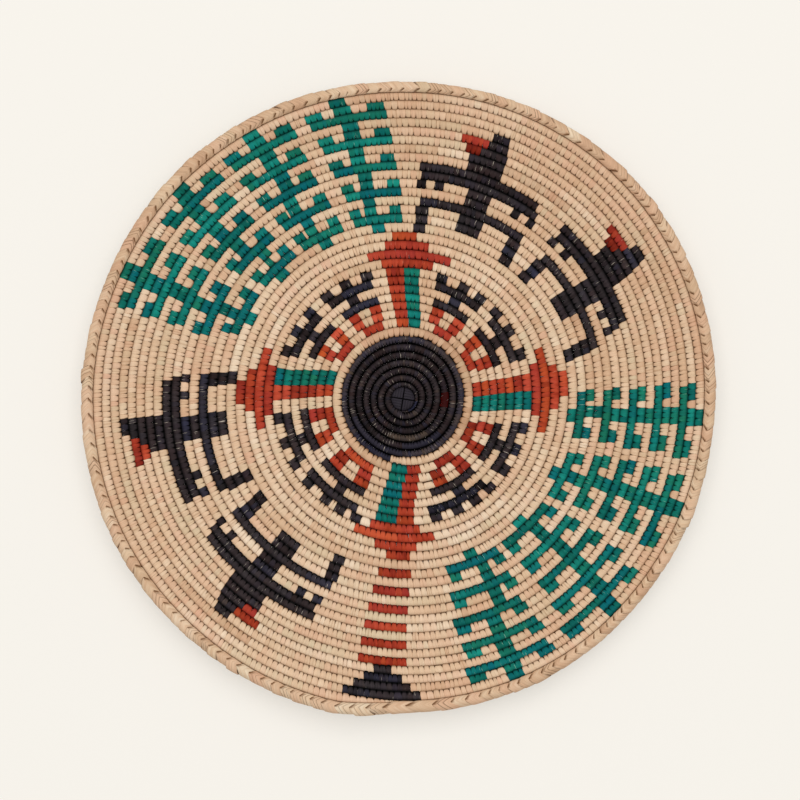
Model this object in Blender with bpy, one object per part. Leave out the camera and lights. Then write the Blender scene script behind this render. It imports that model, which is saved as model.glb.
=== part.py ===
# A coiled basket wall plate: a start knot, a spiral coil with one row to each piece, and a braided rim
# round a core. Metres, +Z out of the patterned face, origin at the middle of the flat underside.

import math

import bmesh
import bpy
from mathutils import Vector

# the coil, a wrapped bundle that winds outwards, anticlockwise seen from the patterned face
KNOT_RADIUS = 0.0082
DARK_ROWS = 7
PALE_ROWS = 28
DARK_ROW_WIDTH = 0.00437
PALE_ROW_WIDTH = 0.00527
ROW_THICKNESS = 0.0060
CROWN_SHARE = 0.5  # how much of a row's width is its flat top, and its flat underside
THIN_END = 0.0012  # width of the coil where it starts and where it runs out
FIT_GAP = 0.0003  # between pieces that touch
SEAM_ANGLE = math.radians(270)  # where each row ends and the next begins
STEPS = 30  # straight lengths in a turn
TAIL_STEPS = 1  # of them, those in which the last row runs out

# the dish, flat in the middle and rising to the rim
BASE_RADIUS = 0.100
RIM_RISE = 0.018
RISE_CURVE = 1.7

# the rim, a braid sewn over a core outside the last row
BRAID_WIDTH = 0.0063
BRAID_THICKNESS = 0.0074
BRAID_WALL = 0.0014
BRAID_SIDES = 8

# colours and finish
PALE_COLOUR = (0.72, 0.50, 0.30, 1)
DARK_COLOUR = (0.030, 0.026, 0.034, 1)
BRAID_COLOUR = (0.62, 0.41, 0.24, 1)
CORE_COLOUR = (0.55, 0.42, 0.22, 1)
FIBRE_ROUGHNESS = 0.62
SMOOTH_ANGLE = math.radians(50)

ROWS = DARK_ROWS + PALE_ROWS


def row_edge(turns):
    # radius of the spiral line on the coil's inner side, so many turns from the seam at the knot
    dark = min(max(turns - 1, 0), DARK_ROWS)
    pale = max(turns - 1 - DARK_ROWS, 0)
    return KNOT_RADIUS + dark * DARK_ROW_WIDTH + pale * PALE_ROW_WIDTH


OUTER_EDGE = row_edge(ROWS + 1)
TAIL_START = ROWS - TAIL_STEPS / STEPS
THIN_START = (THIN_END + FIT_GAP) / DARK_ROW_WIDTH
THIN_STOP = ROWS - (ROWS - TAIL_START) * (THIN_END + FIT_GAP) / PALE_ROW_WIDTH


def coil_outside(turns):
    # radius of the last row's outer line, which runs in to the row below over the tail
    if turns <= TAIL_START:
        return row_edge(turns + 1)
    share = (turns - TAIL_START) / (ROWS - TAIL_START)
    return row_edge(TAIL_START + 1) * (1 - share) + row_edge(ROWS) * share


def rise(radius):
    run = max(radius - BASE_RADIUS, 0) / (OUTER_EDGE - BASE_RADIUS)
    return RIM_RISE * run**RISE_CURVE


def lean(radius):
    # angle of the dish's wall at this radius
    run = max(radius - BASE_RADIUS, 0) / (OUTER_EDGE - BASE_RADIUS)
    return math.atan(RIM_RISE * RISE_CURVE * run ** (RISE_CURVE - 1) / (OUTER_EDGE - BASE_RADIUS))


def section(turns, radius, corners):
    # corners (across, up) of a cut through the coil, set on the dish's wall at this radius
    angle = SEAM_ANGLE + 2 * math.pi * turns
    tilt = lean(radius)
    points = []
    for across, up in corners:
        out = radius + across - up * math.sin(tilt)
        height = ROW_THICKNESS / 2 + rise(radius) + across * math.tan(tilt) + up * math.cos(tilt)
        points.append(Vector((out * math.cos(angle), out * math.sin(angle), height)))
    return points


def row_section(turns, inner, outer):
    # six corners: a point at each side, where the rows meet, and a flat top and underside
    side = (outer - inner - FIT_GAP) / 2
    crown = side * CROWN_SHARE
    up = ROW_THICKNESS / 2
    corners = [(-side, 0), (-crown, up), (crown, up), (side, 0), (crown, -up), (-crown, -up)]
    return section(turns, (inner + outer) / 2, corners)


def rim_section(turns, inset):
    # a round-cornered cut through the rim, made smaller all round by the inset
    half_width = (BRAID_WIDTH - FIT_GAP) / 2 - inset
    half_height = BRAID_THICKNESS / 2 - inset
    turn = 2 * math.pi / BRAID_SIDES
    reach = 1 / math.cos(turn / 2)
    corners = []
    for corner in range(BRAID_SIDES):
        angle = math.pi - turn * (corner + 0.5)
        corners.append((half_width * reach * math.cos(angle), half_height * reach * math.sin(angle)))
    return section(turns, coil_outside(turns) + BRAID_WIDTH / 2, corners)


def gap_in_turns(radius):
    # half the gap between two ends that meet at the seam
    return FIT_GAP / 2 / (2 * math.pi * radius)


def stations(first, last):
    # places along the coil, in turns, with those between the two ends on whole steps
    steps = range(math.floor(first * STEPS) + 1, math.ceil(last * STEPS))
    return [first] + [step / STEPS for step in steps] + [last]


def row_stations(row):
    radius = row_edge(row)
    first = THIN_START if row == 1 else row - 1 + gap_in_turns(radius)
    last = THIN_STOP if row == ROWS else row - gap_in_turns(radius)
    return stations(first, last)


def rim_stations():
    gap = gap_in_turns(row_edge(ROWS))
    places = stations(ROWS - 1 + gap, ROWS - gap)
    return sorted(places + [THIN_STOP])


def bridge(bm, first, second):
    for corner, vert in enumerate(first):
        following = (corner + 1) % len(first)
        bm.faces.new((vert, first[following], second[following], second[corner]))


def finish(bm, name, material, parent):
    bmesh.ops.recalc_face_normals(bm, faces=bm.faces)
    mesh = bpy.data.meshes.new(name)
    bm.to_mesh(mesh)
    bm.free()
    mesh.shade_smooth()
    mesh.set_sharp_from_angle(angle=SMOOTH_ANGLE)
    mesh.materials.append(material)
    piece = bpy.data.objects.new(name, mesh)
    bpy.context.scene.collection.objects.link(piece)
    piece.parent = parent
    return piece


def rod(name, sections, material, parent):
    # a solid length swept through its sections
    bm = bmesh.new()
    rings = [[bm.verts.new(point) for point in points] for points in sections]
    for first, second in zip(rings, rings[1:]):
        bridge(bm, first, second)
    bm.faces.new(rings[0])
    bm.faces.new(rings[-1])
    return finish(bm, name, material, parent)


def tube(name, outer_sections, inner_sections, material, parent):
    # a hollow length, open at both ends
    bm = bmesh.new()
    walls = []
    for sections in (outer_sections, inner_sections):
        rings = [[bm.verts.new(point) for point in points] for points in sections]
        for first, second in zip(rings, rings[1:]):
            bridge(bm, first, second)
        walls.append(rings)
    outer, inner = walls
    bridge(bm, outer[0], inner[0])
    bridge(bm, outer[-1], inner[-1])
    return finish(bm, name, material, parent)


def material(name, colour):
    made = bpy.data.materials.new(name)
    made.use_nodes = True
    shader = made.node_tree.nodes["Principled BSDF"]
    shader.inputs["Base Color"].default_value = colour
    shader.inputs["Roughness"].default_value = FIBRE_ROUGHNESS
    shader.inputs["Metallic"].default_value = 0
    return made


def clear_scene():
    for old in list(bpy.data.objects):
        bpy.data.objects.remove(old, do_unlink=True)


def make_knot(colour, parent):
    # a low button as thick as the coil, widest halfway up
    side = KNOT_RADIUS - FIT_GAP / 2
    crown = KNOT_RADIUS - DARK_ROW_WIDTH * (1 - CROWN_SHARE) / 2
    levels = ((crown, 0), (side, ROW_THICKNESS / 2), (crown, ROW_THICKNESS))
    rings = []
    for radius, height in levels:
        angles = [SEAM_ANGLE + 2 * math.pi * step / STEPS for step in range(STEPS)]
        rings.append([Vector((radius * math.cos(a), radius * math.sin(a), height)) for a in angles])
    return rod("start_knot", rings, colour, parent)


def make_rows(dark, pale, parent):
    rows = []
    for row in range(1, ROWS + 1):
        outside = coil_outside if row == ROWS else lambda turns: row_edge(turns + 1)
        cuts = [row_section(turns, row_edge(turns), outside(turns)) for turns in row_stations(row)]
        colour = dark if row <= DARK_ROWS else pale
        rows.append(rod(f"coil_row_{row:02d}", cuts, colour, parent))
    return rows


def make_rim(braid_colour, core_colour, parent):
    places = rim_stations()
    skin = [rim_section(turns, 0) for turns in places]
    bore = [rim_section(turns, BRAID_WALL) for turns in places]
    core = [rim_section(turns, BRAID_WALL + FIT_GAP) for turns in places]
    braid = tube("rim_braid", skin, bore, braid_colour, parent)
    rod("rim_core", core, core_colour, parent)
    return braid


def centre_on(plate, outline):
    # the origin goes to the middle of the rim's outline
    for axis in (0, 1):
        reach = [vert.co[axis] for vert in outline.data.vertices]
        plate.location[axis] = -(min(reach) + max(reach)) / 2


def main():
    clear_scene()
    plate = bpy.data.objects.new("plate", None)
    bpy.context.scene.collection.objects.link(plate)
    dark = material("dark_stitches", DARK_COLOUR)
    make_knot(dark, plate)
    make_rows(dark, material("pale_stitches", PALE_COLOUR), plate)
    braid = make_rim(material("braid", BRAID_COLOUR), material("core_fibre", CORE_COLOUR), plate)
    centre_on(plate, braid)
    bpy.context.view_layer.update()


main()
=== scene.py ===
import bisect
import math
import random

import bmesh
import bpy
import numpy as np
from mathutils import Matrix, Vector


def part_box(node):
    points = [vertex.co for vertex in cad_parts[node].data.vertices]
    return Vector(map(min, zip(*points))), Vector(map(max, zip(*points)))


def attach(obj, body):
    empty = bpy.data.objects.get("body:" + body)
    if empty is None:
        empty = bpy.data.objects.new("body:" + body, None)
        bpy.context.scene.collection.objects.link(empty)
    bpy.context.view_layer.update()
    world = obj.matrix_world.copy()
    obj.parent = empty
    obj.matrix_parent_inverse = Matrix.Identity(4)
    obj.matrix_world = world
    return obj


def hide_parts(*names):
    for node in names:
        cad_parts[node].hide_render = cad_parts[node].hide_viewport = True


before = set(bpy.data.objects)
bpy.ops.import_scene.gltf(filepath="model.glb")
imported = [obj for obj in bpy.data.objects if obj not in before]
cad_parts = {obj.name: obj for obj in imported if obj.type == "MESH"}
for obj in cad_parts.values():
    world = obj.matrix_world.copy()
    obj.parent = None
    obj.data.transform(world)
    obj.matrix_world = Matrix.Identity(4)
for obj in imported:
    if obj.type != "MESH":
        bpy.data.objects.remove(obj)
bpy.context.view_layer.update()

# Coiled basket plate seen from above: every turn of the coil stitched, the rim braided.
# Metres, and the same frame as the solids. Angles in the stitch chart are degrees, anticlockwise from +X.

knotLow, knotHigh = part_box("start_knot")
pole = (knotLow + knotHigh) / 2  # middle of the spiral, a little off the middle of the outline


# the coil's own line, wound as the solids are
coil = {
    "knotRadius": 0.0082,
    "darkRows": 7,
    "paleRows": 28,
    "darkWidth": 0.00437,
    "paleWidth": 0.00527,
    "thickness": knotHigh.z - knotLow.z,
    "thinEnd": 0.0003,  # width of the coil where it runs out
    "overKnot": 0.0012,  # how far the first row lies over the knot
    "overlap": 0.0002,  # the end of a row inside the next one
    "seamAngle": math.radians(270),
    "tailTurns": 1 / 30,  # the last row runs in over this much of a turn
    "baseRadius": 0.100,
    "rimRise": 0.018,
    "riseCurve": 1.7,
    "pathStep": math.radians(1.5),
}
coil["rows"] = coil["darkRows"] + coil["paleRows"]
coil["tailStart"] = coil["rows"] - coil["tailTurns"]


def rowEdge(turns):
    # radius of the line between one row and the next, so many turns out from the seam at the knot
    turns = np.asarray(turns, float)
    dark = np.clip(turns - 1, 0, coil["darkRows"])
    pale = np.maximum(turns - 1 - coil["darkRows"], 0)
    return coil["knotRadius"] + dark * coil["darkWidth"] + pale * coil["paleWidth"]


coil["outerEdge"] = float(rowEdge(coil["rows"] + 1))
coil["wallReach"] = coil["outerEdge"] - coil["baseRadius"]


def coilOutside(turns):
    # the same, but the last row runs in at its end
    turns = np.asarray(turns, float)
    share = np.clip((turns - coil["tailStart"]) / coil["tailTurns"], 0, 1)
    return rowEdge(np.minimum(turns, coil["tailStart"]) + 1) * (1 - share) + rowEdge(coil["rows"]) * share


def wallRun(radius):
    # how far up the wall, from 0 at its foot to 1 at the coil's edge
    return np.maximum(radius - coil["baseRadius"], 0) / coil["wallReach"]


def wallHeight(radius):
    return coil["rimRise"] * wallRun(radius) ** coil["riseCurve"]


def wallLean(radius):
    curve = coil["riseCurve"]
    return np.arctan(coil["rimRise"] * curve * wallRun(radius) ** (curve - 1) / coil["wallReach"])


# how far the hand let the rows wander from a true spiral: each swell pushes them out by so many millimetres
# on so many sides, most at one radius and less over its reach; one with no lobes pushes all round
swells = (
    {"push": 1.6, "lobes": 0, "towards": 0, "radius": 44, "reach": 16},
    {"push": 2.4, "lobes": 0, "towards": 0, "radius": 130, "reach": 45},
    {"push": -0.5, "lobes": 0, "towards": 0, "radius": 192, "reach": 12},
    {"push": 1.9, "lobes": 1, "towards": 18, "radius": 62, "reach": 62},
    {"push": 0.4, "lobes": 1, "towards": 50, "radius": 112, "reach": 35},
    {"push": 1.3, "lobes": 1, "towards": 105, "radius": 190, "reach": 38},
    {"push": 0.4, "lobes": 1, "towards": 352, "radius": 165, "reach": 25},
    {"push": 0.6, "lobes": 1, "towards": 265, "radius": 193, "reach": 9},
    {"push": 0.4, "lobes": 2, "towards": 145, "radius": 193, "reach": 9},
    {"push": 0.35, "lobes": 3, "towards": 25, "radius": 193, "reach": 9},
    {"push": 0.45, "lobes": 4, "towards": 32, "radius": 194, "reach": 9},
    {"push": 0.35, "lobes": 5, "towards": 338, "radius": 194, "reach": 9},
    {"push": 0.6, "lobes": 1, "towards": 15, "radius": 40, "reach": 12},
    {"push": 0.7, "lobes": 2, "towards": 110, "radius": 62, "reach": 28},
    {"push": 0.8, "lobes": 2, "towards": 57, "radius": 190, "reach": 16},
    {"push": 0.35, "lobes": 3, "towards": 60, "radius": 40, "reach": 30},
    {"push": 0.7, "lobes": 3, "towards": 52, "radius": 170, "reach": 60},
    {"push": 0.6, "lobes": 4, "towards": 28, "radius": 120, "reach": 60},
    {"push": 0.12, "lobes": 11, "towards": 9, "radius": 186, "reach": 70},
)


def wanderAt(angle, radius):
    total = 0
    for swell in swells:
        fade = np.exp(-(((radius * 1000 - swell["radius"]) / swell["reach"]) ** 2))
        side = np.cos(swell["lobes"] * (angle - math.radians(swell["towards"])))
        total = total + swell["push"] * fade * side
    return total / 1000


def pathAlong(turns, inner, outer, thickness):
    # centre line with the vectors that a section is laid out on, across the row and up out of the wall
    angle = coil["seamAngle"] + math.tau * turns
    middle = (inner + outer) / 2
    lean = wallLean(middle)
    out = np.stack([np.cos(angle), np.sin(angle), np.zeros_like(angle)], 1)
    upright = np.array([[0.0, 0.0, 1.0]])
    inner = inner + wanderAt(angle, inner)
    outer = outer + wanderAt(angle, outer)
    height = (coil["thickness"] / 2 + wallHeight(middle))[:, None]
    centre = np.array([[pole.x, pole.y, 0]]) + out * ((inner + outer) / 2)[:, None] + upright * height
    across = (out + upright * np.tan(lean)[:, None]) * (outer - inner)[:, None]
    up = (upright * np.cos(lean)[:, None] - out * np.sin(lean)[:, None]) * thickness
    steps = np.linalg.norm(np.diff(centre, axis=0), axis=1)
    length = np.concatenate([[0.0], np.cumsum(steps)])
    return {"turns": turns, "centre": centre, "across": across, "up": up, "length": length}


def stations(first, last):
    count = max(2, int(math.ceil((last - first) * math.tau / coil["pathStep"])) + 1)
    return np.linspace(first, last, count)


def rowPath(row):
    first, last = row - 1, row
    if row == coil["rows"]:
        last = row - coil["tailTurns"] * coil["thinEnd"] / coil["paleWidth"]
    else:
        last += coil["overlap"] / (math.tau * float(rowEdge(row)))
    turns = stations(first, last)
    inner = rowEdge(turns) - (coil["overKnot"] if row == 1 else 0)
    outer = coilOutside(turns) if row == coil["rows"] else rowEdge(turns + 1)
    return pathAlong(turns, inner, outer, coil["thickness"])


def turnsAt(path, place):
    # the turns along the coil, so many metres along a path
    return float(np.interp(place, path["length"], path["turns"]))


print("coil: %d rows out to %.1f mm" % (coil["rows"], coil["outerEdge"] * 1000))


# the stitch chart: which stretch of the coil is sewn with which splint
# rings are counted from the rim inwards; a stretch is (from, to, dye) in turns along the coil
chart = []
degree = 1 / 360


def sew(ring, start, stop, dye, overSeam=False):
    offset = start - math.degrees(coil["seamAngle"])
    if not overSeam:
        offset = offset % 360
    first = coil["rows"] - ring + offset * degree
    chart.append((first, first + (stop - start) * degree, dye))


def sewRound(ring, middle, width, dye, overSeam=False):
    sew(ring, middle - width / 2, middle + width / 2, dye, overSeam)


def between(first, last, share):
    return [a + (b - a) * share for a, b in zip(first, last)]


# the trees: five tiers each, a bar with a knob at either end and the trunk going on
treeShape = {
    "tierRings": (3, 6, 9, 12, 15),
    "knob": 3.4,
    "leftInset": 0.5,
    "rightOverhang": 0.6,
    "trunk": 3.5,
    "root": 4.3,
    "tip": 3.2,
}
trees = [
    {"tip": 102.0, "bars": (100.4, 99.4, 98.6, 97.3, 97.0), "trunks": (101.3, 100.3, 100.0, 98.9, 98.9),
     "root": 97.1, "span": 15.6},
    {"tip": 119.6, "bars": (118.7, 118.6, 118.2, 117.0, 115.8), "trunks": (119.3, 118.7, 118.2, 119.2, 117.9),
     "root": 115.6, "span": 14.7},
    {"tip": 136.5, "bars": (135.9, 136.8, 136.5, 135.2, 133.3), "trunks": (136.9, 137.5, 137.5, 136.7, 133.2),
     "root": 133.7, "span": 14.4},
    {"tip": 155.0, "bars": (154.0, 154.3, 154.1, 154.4, 151.3), "trunks": (154.9, 155.1, 154.4, 154.8, 153.0),
     "root": 151.9, "span": 15.1},
    {"tip": 292.8, "bars": (292.4, 293.0, 292.2, 293.2, 294.1), "trunks": (292.9, 293.0, 293.1, 296.2, 296.4),
     "root": 294.4, "span": 17.8},
    {"tip": 315.4, "bars": (314.1, 315.7, 316.1, 315.7, 314.7), "trunks": (315.4, 316.5, 317.2, 317.2, 316.3),
     "root": 314.1, "span": 18.8},
    {"tip": 338.2, "bars": (336.5, 336.8, 336.7, 336.1, 334.5), "trunks": (338.1, 337.7, 337.6, 337.1, 335.3),
     "root": 334.2, "span": 15.5},
    {"tip": 356.2, "bars": (355.0, 355.4, 354.8, 354.9, 354.6), "trunks": (356.2, 356.3, 355.9, 355.5, 356.0),
     "root": 354.2, "span": 14.7},
]


def sewTree(tree):
    shape = treeShape
    sewRound(1, tree["tip"], shape["tip"], "green")
    following = tree["trunks"][1:] + (None,)
    for ring, bar, trunk, below in zip(shape["tierRings"], tree["bars"], tree["trunks"], following):
        sewRound(ring, bar, tree["span"], "green")
        left = bar - tree["span"] / 2 + shape["leftInset"]
        right = bar + tree["span"] / 2 + shape["rightOverhang"]
        sew(ring - 1, left, left + shape["knob"], "green")
        sew(ring - 1, right - shape["knob"], right, "green")
        sewRound(ring - 1, trunk, shape["trunk"], "green")
        if below:
            sewRound(ring + 1, below, shape["trunk"], "green")
    sewRound(ring + 1, tree["root"], shape["root"], "green")


# the birds: offsets from the left side of the body, from the two wing tips and from the two feet
birdShape = {
    # ring: (lean, width)
    "head": {4: (1.0, 3.5), 5: (0.62, 4.5), 6: (0.25, 6.1)},
    "neck": {7: (0.1, 8.5), 8: (-0.05, 8.4)},
    "beak": {5: 5.9, 6: 3.3},
    "wings": {9: (0.0, 0.0), 10: (-1.3, -0.6)},
    "featherRing": 11,
    "feathers": (((-2.0, 0.0), (2.5, 4.7)), ((-6.8, -4.4), (-2.1, 0.4))),
    "bellyRings": (11, 12),
    "bellyWidth": 6.6,
    "hipRing": 13,
    "tailRings": (14, 15),
    "tailWidth": 7.6,
    "legs": (
        {14: (-0.9, 3.4), 15: (-1.2, 2.9), 16: (-2.0, 2.2)},
        {14: (-2.9, 1.1), 15: (-2.9, 0.9), 16: (-2.5, 1.4)},
    ),
}
birds = [
    {"body": 27.8, "lean": 1.7, "stout": 1.0, "wings": (18.8, 46.4), "belly": 26.0, "tail": 25.6,
     "legs": (14.2, 44.6), "limp": 0.0, "beak": {5: "red", 6: "brick"}},
    {"body": 65.4, "lean": 1.3, "stout": 1.0, "wings": (54.2, 85.0), "belly": 65.2, "tail": 64.2,
     "legs": (52.4, 84.1), "limp": 0.0, "beak": {5: "red", 6: "brick"}},
    {"body": 184.2, "lean": 0.1, "stout": 0.96, "wings": (175.7, 206.4), "belly": 184.9, "tail": 184.3,
     "legs": (173.0, 207.6), "limp": 0.0, "beak": {5: "red", 6: "red"}},
    {"body": 226.6, "lean": 1.8, "stout": 1.14, "wings": (215.6, 248.6), "belly": 228.2, "tail": 228.5,
     "legs": (214.1, 250.0), "limp": 1.4, "beak": {5: "red", 6: "red"}},
]


def sewBird(bird):
    shape = birdShape
    for part, stout in (("head", 1), ("neck", bird["stout"])):
        for ring, (lean, width) in shape[part].items():
            start = bird["body"] + bird["lean"] * lean
            stop = start + width * stout
            sew(ring, start, stop, "black")
            if ring in shape["beak"]:
                sew(ring, stop, stop + shape["beak"][ring], bird["beak"][ring])
    for ring, (start, stop) in shape["wings"].items():
        sew(ring, bird["wings"][0] + start, bird["wings"][1] + stop, "black")
    for wing, feathers in zip(bird["wings"], shape["feathers"]):
        for start, stop in feathers:
            sew(shape["featherRing"], wing + start, wing + stop, "black")
    for ring in shape["bellyRings"]:
        sew(ring, bird["belly"], bird["belly"] + shape["bellyWidth"], "black")
    sew(shape["hipRing"], *bird["legs"], "black")
    for ring in shape["tailRings"]:
        sew(ring, bird["tail"], bird["tail"] + shape["tailWidth"], "black")
    for place, limp, leg in zip(bird["legs"], (bird["limp"], 0.0), shape["legs"]):
        for ring, (start, stop) in leg.items():
            sew(ring, place + start + limp, place + stop + limp, "black")


# the cross: four arms, each a red stepped cap on a stem that is green on one side and red on the other
armShape = {
    "cap": {17: (2.0, 8.6), 18: (1.0, 16.2), 19: (0.0, 33.4), 20: (0.5, 21.8)},  # ring: (shift, width)
    "stemRings": (21, 27),
    "curve": 1.6,
}
arms = [
    {"middle": 3.1, "top": (-5.3, 3.2, 10.6), "foot": (-10.0, 1.3, 11.4), "overSeam": False},
    {"middle": 86.3, "top": (81.0, 88.2, 96.2), "foot": (74.3, 83.6, 92.2), "overSeam": False},
    {"middle": 176.0, "top": (166.0, 173.9, 181.0), "foot": (157.8, 169.6, 178.2), "overSeam": False},
    {"middle": 267.3, "top": (258.6, 268.5, 276.4), "foot": (263.3, 275.8, 286.0), "overSeam": True},
]


def sewArm(arm):
    for ring, (shift, width) in armShape["cap"].items():
        sewRound(ring, arm["middle"] + shift, width, "red", arm["overSeam"])
    first, last = armShape["stemRings"]
    for ring in range(first, last + 1):
        share = ((ring - first) / (last - first)) ** armShape["curve"]
        left, split, right = between(arm["top"], arm["foot"], share)
        sew(ring, left, split, "green", arm["overSeam"])
        sew(ring, split, right, "red", arm["overSeam"])


# the combs between the arms, with a red hook under each
combShape = {"rings": (21, 22, 23, 24), "hookRings": (25, 26), "joinRing": 27, "knob": 5.2, "stem": 6.0}
combs = [
    {"bar": (17.6, 40.9), "knobs": (17.2, 29.0, 38.7), "stem": 30.1, "foot": (18.2, 41.6),
     "hook": (18.8, 40.2), "join": (20.9, 36.2), "block": 7.6},
    {"bar": (48.4, 72.4), "knobs": (48.4, 57.2, 67.9), "stem": 60.1, "foot": (49.0, 70.7),
     "hook": (48.0, 70.0), "join": (49.4, 63.8), "block": 7.6},
    {"bar": (103.6, 127.3), "knobs": (102.6, 113.0, 123.1), "stem": 115.4, "foot": (102.3, 124.6),
     "hook": (102.0, 123.0), "join": (102.9, 118.6), "block": 6.9},
    {"bar": (134.2, 158.5), "knobs": (134.2, 144.7, 154.7), "stem": 144.3, "foot": (132.6, 155.8),
     "hook": (130.6, 152.0), "join": (131.1, 147.9), "block": 7.4},
    {"bar": (187.8, 212.9), "knobs": (187.0, 199.0, 209.5), "stem": 202.9, "foot": (186.5, 212.0),
     "hook": (187.3, 212.0), "join": (187.3, 207.6), "block": 8.4},
    {"bar": (218.7, 249.0), "knobs": (220.2, 231.3, 239.2, 247.2), "stem": 236.7, "foot": (219.4, 249.8),
     "hook": (221.0, 250.2), "join": (224.2, 249.6), "block": 9.7},
    {"bar": (284.2, 315.1), "knobs": (284.4, 295.0, 303.8, 312.5), "stem": 302.6, "foot": (288.0, 315.5),
     "hook": (291.8, 316.6), "join": (298.0, 313.6), "block": 8.2},
    {"bar": (322.2, 348.2), "knobs": (323.1, 333.4, 343.7), "stem": 334.8, "foot": (322.8, 345.7),
     "hook": (323.3, 344.3), "join": (326.4, 341.9), "block": 7.0},
]


def sewComb(comb):
    knobRing, barRing, stemRing, footRing = combShape["rings"]
    for start in comb["knobs"]:
        sew(knobRing, start, start + combShape["knob"], "black")
    sew(barRing, *comb["bar"], "black")
    sewRound(stemRing, comb["stem"], combShape["stem"], "black")
    sew(footRing, *comb["foot"], "black")
    left, right = comb["hook"]
    for ring in combShape["hookRings"]:
        sew(ring, left, left + comb["block"], "red")
        sew(ring, right - comb["block"], right, "red")
    sew(combShape["joinRing"], *comb["join"], "red")


# the banded stem below the cross, on a plain black stepped foot
stem = {
    "rings": (5, 7, 9, 11, 13, 15),
    "top": (260.8, 271.5),
    "foot": (262.9, 273.8),
    "curve": 2.4,
    "ashRings": (8, 10),
}
foot = {"rings": (1, 2, 3, 4), "middle": 266.4, "width": 15.2, "step": 3.8}


def sewStem():
    first, last = stem["rings"][0], stem["rings"][-1]
    for ring in stem["rings"]:
        share = ((ring - first) / (last - first)) ** stem["curve"]
        sew(ring, *between(stem["top"], stem["foot"], share), "red", True)
    for ring in stem["ashRings"]:
        sew(ring, *stem["top"], "ash", True)
    for ring in foot["rings"]:
        sewRound(ring, foot["middle"], foot["width"] - foot["step"] * (ring - 1), "black", True)


# where the dark splint turned another colour, by the row counted from the knot; the rest of it is black
darkSpells = (
    (1, 300, 352, "navy"),
    (4, 250, 270, "olive"),
    (5, 270, 306, "olive"),
    (5, 350, 369, "oxblood"),
    (6, 200, 269, "slate"),
    (6, 270, 318, "slate"),
)
oddSplints = {
    "ash": {"dye": "undyed", "ash": 0.6, "blush": 0.0},
    "olive": {"dye": "black", "tone": 0.95, "blush": 0.0, "ash": 0.0},
    "slate": {"dye": "black", "blush": 0.0, "ash": 0.45},
    "brick": {"dye": "red", "tone": 0.25, "blush": 0.0, "ash": 0.0},
    "navy": {"dye": "black", "tone": 0.7, "blush": 0.0, "ash": 1.0},
    "oxblood": {"dye": "red", "tone": -0.4, "blush": 0.0, "ash": 0.0},
}
for row, start, stop, dye in darkSpells:
    sew(coil["rows"] + 1 - row, start, stop, dye)
for sewMotif, motifs in ((sewTree, trees), (sewBird, birds), (sewArm, arms), (sewComb, combs)):
    for motif in motifs:
        sewMotif(motif)
sewStem()

# the knot and its dark rows are black; the black splint gave out a little before the seam
darkPatch = {"end": coil["darkRows"] - 11 * degree}
chart.sort()
chartStarts = [first for first, last, dye in chart]
print("stitch chart: %d stretches" % len(chart))


def dyeAt(turns, point):
    # the chart counts its angles round the middle of the outline, the coil round its pole
    seen = math.atan2(point[1], point[0])
    wound = math.atan2(point[1] - pole.y, point[0] - pole.x)
    if turns > coil["darkRows"]:
        turns += math.remainder(seen - wound, math.tau) / math.tau
    # the stretch, if any, is among the last three that start before this place
    place = bisect.bisect_right(chartStarts, turns)
    for first, last, dye in chart[max(place - 3, 0) : place]:
        if turns < last:
            return dye
    return "black" if turns < darkPatch["end"] else "undyed"


def dyeAlong(path, place):
    # the dye so many metres along a row
    point = [np.interp(place, path["length"], path["centre"][:, axis]) for axis in (0, 1)]
    return dyeAt(turnsAt(path, place), point)


def dyeChanges(path, step):
    # where along a row one dye gives way to another
    places = np.arange(step / 2, path["length"][-1], step)
    sewn = [dyeAlong(path, place) for place in places]
    return [(a + b) / 2 for a, b, one, other in zip(places, places[1:], sewn, sewn[1:]) if one != other]


# colours
def shade(code):
    # a hex colour as Blender's linear values
    parts = [int(code[i : i + 2], 16) / 255 for i in (1, 3, 5)]
    return tuple(c / 12.92 if c < 0.04045 else ((c + 0.055) / 1.055) ** 2.4 for c in parts) + (1,)


def wire(tree, kind, inputs=None, **settings):
    # one node, with its settings, its fixed inputs and its incoming links
    node = tree.nodes.new(kind)
    for name, value in settings.items():
        setattr(node, name, value)
    for name, value in (inputs or {}).items():
        socket = node.inputs[name]
        if isinstance(value, bpy.types.NodeSocket):
            tree.links.new(value, socket)
        else:
            socket.default_value = value
    return node


def newGroup(name, kind, inputs, outputs):
    # a socket is given by its type, or by the number that it starts from
    group = bpy.data.node_groups.new(name, kind)
    for side, sockets in (("INPUT", inputs), ("OUTPUT", outputs)):
        for label, given in sockets.items():
            socketType = "NodeSocket" + (given if isinstance(given, str) else "Float")
            socket = group.interface.new_socket(label, in_out=side, socket_type=socketType)
            if not isinstance(given, str):
                socket.default_value = given
    return group, group.nodes.new("NodeGroupInput"), group.nodes.new("NodeGroupOutput")


def mathNode(tree, operation, *values, clamp=False):
    inputs = dict(enumerate(values))
    return wire(tree, "ShaderNodeMath", inputs, operation=operation, use_clamp=clamp).outputs[0]


def mixColours(tree, factor, first, second, blend="MIX"):
    inputs = {0: factor, 6: first, 7: second}
    return wire(tree, "ShaderNodeMix", inputs, data_type="RGBA", blend_type=blend).outputs[2]


def smoothRange(tree, value, low, high):
    inputs = {"Value": value, 1: low, 2: high}
    return wire(tree, "ShaderNodeMapRange", inputs, interpolation_type="SMOOTHSTEP").outputs[0]


def leafNoise(tree, splint, stretch, detail, roughness):
    # noise drawn out along the splint; the stretch is across it, along it and from stitch to stitch
    drawn = wire(tree, "ShaderNodeVectorMath", {0: splint, 1: stretch}, operation="MULTIPLY").outputs[0]
    inputs = {"Vector": drawn, "Scale": 1.0, "Detail": detail, "Roughness": roughness}
    return wire(tree, "ShaderNodeTexNoise", inputs).outputs[0]


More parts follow.
